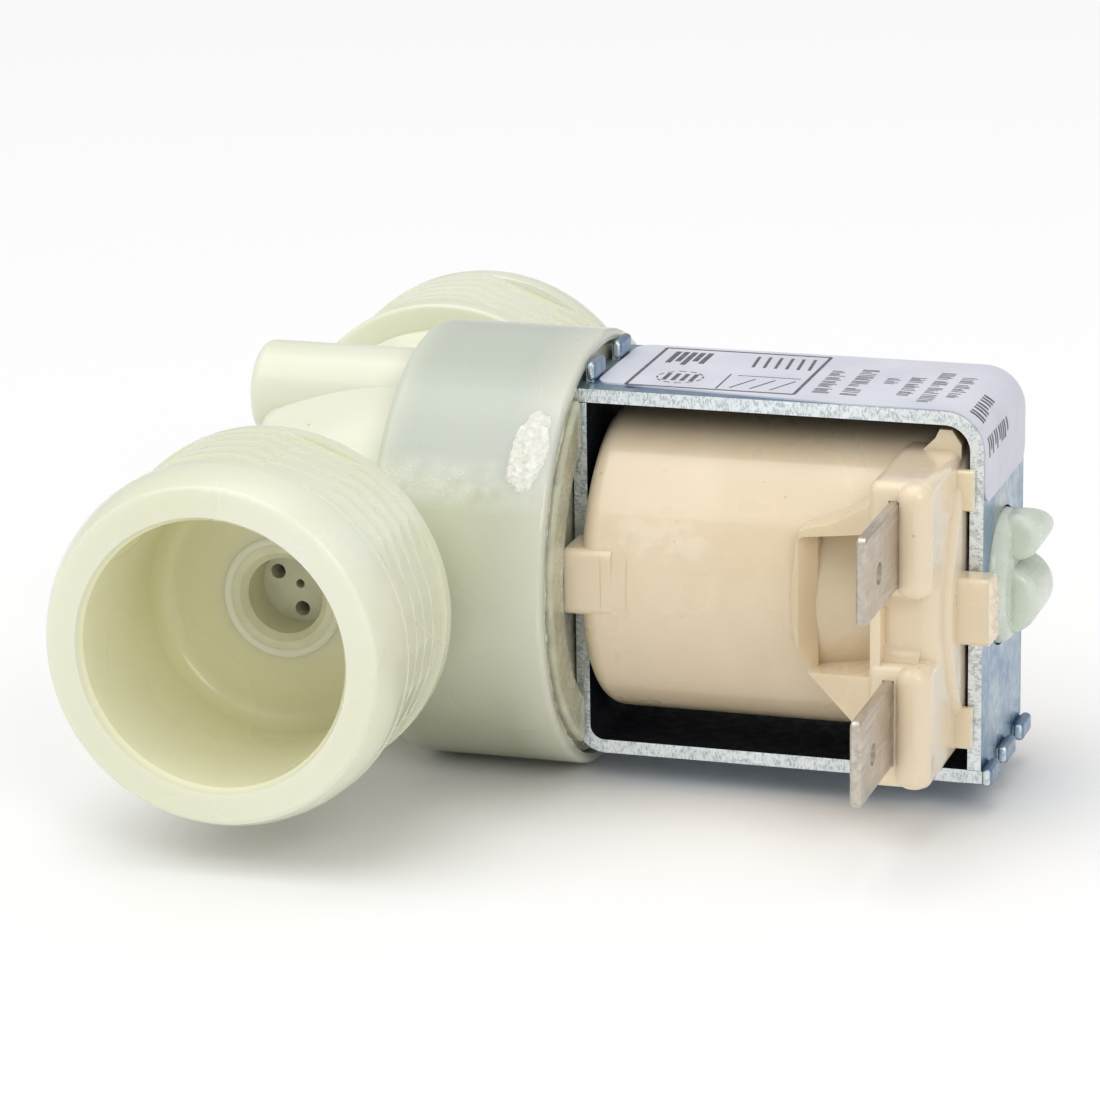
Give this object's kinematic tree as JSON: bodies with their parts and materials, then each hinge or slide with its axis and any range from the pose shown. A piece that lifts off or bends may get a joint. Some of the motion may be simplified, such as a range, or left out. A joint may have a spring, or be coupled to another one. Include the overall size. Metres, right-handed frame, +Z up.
{
  "type": "solenoid valve",
  "caption": "Straight-through water solenoid valve with male threaded ports, a round diaphragm cup and a framed coil with spade terminals across the pipe.",
  "frame": {"origin": "on the fixing face, midway between the two fixing holes", "axes": "+X along the coil axis, away from the fixing face; +Y along the pipe, towards the outlet; +Z up"},
  "size_m": [0.0651, 0.067, 0.0326],
  "materials": {
    "body_plastic": "translucent, satin",
    "regulator_plastic": "satin",
    "rubber": "matt",
    "insert_plastic": "satin",
    "bonnet_plastic": "translucent, satin",
    "magnet_steel": "turned",
    "spring_steel": "drawn wire",
    "bobbin_plastic": "satin",
    "copper_wire": "enamelled wire",
    "overmould_plastic": "glossy, moulded",
    "tinned_brass": "dull tin plate",
    "zinc_plate": "bright zinc plate",
    "label_paper": "printed paper"
  },
  "bodies": {
    "root": {"valve_body": "body_plastic", "flow_regulator_cage": "regulator_plastic", "flow_regulator_ring": "rubber", "diaphragm": "rubber", "bonnet": "bonnet_plastic", "armature_spring": "spring_steel", "flux_sleeve_inner": "magnet_steel", "flux_sleeve_outer": "magnet_steel", "bobbin": "bobbin_plastic", "winding": "copper_wire", "winding_leads": "copper_wire", "coil_overmould": "overmould_plastic", "terminal_upper": "tinned_brass", "terminal_lower": "tinned_brass", "yoke_upper": "zinc_plate", "yoke_lower": "zinc_plate", "rating_label": "label_paper"},
    "plunger": {"armature": "magnet_steel", "armature_seal": "rubber"},
    "diaphragm_core": {"diaphragm_insert": "insert_plastic"}
  },
  "joints": [
    {"name": "armature_slide", "type": "slide", "parent": "root", "child": "plunger", "axis": [1, 0, 0], "range_m": [0, 0.0032], "stiffness_N_per_m": 120, "springref_m": -0.004, "deforming": ["armature_spring"]},
    {"name": "diaphragm_slide", "type": "slide", "parent": "root", "child": "diaphragm_core", "axis": [1, 0, 0], "range_m": [0, 0.0023], "deforming": ["diaphragm"]}
  ],
  "couplings": [
    {"joint": "diaphragm_slide", "follows": "armature_slide", "ratio": 0.7}
  ]
}
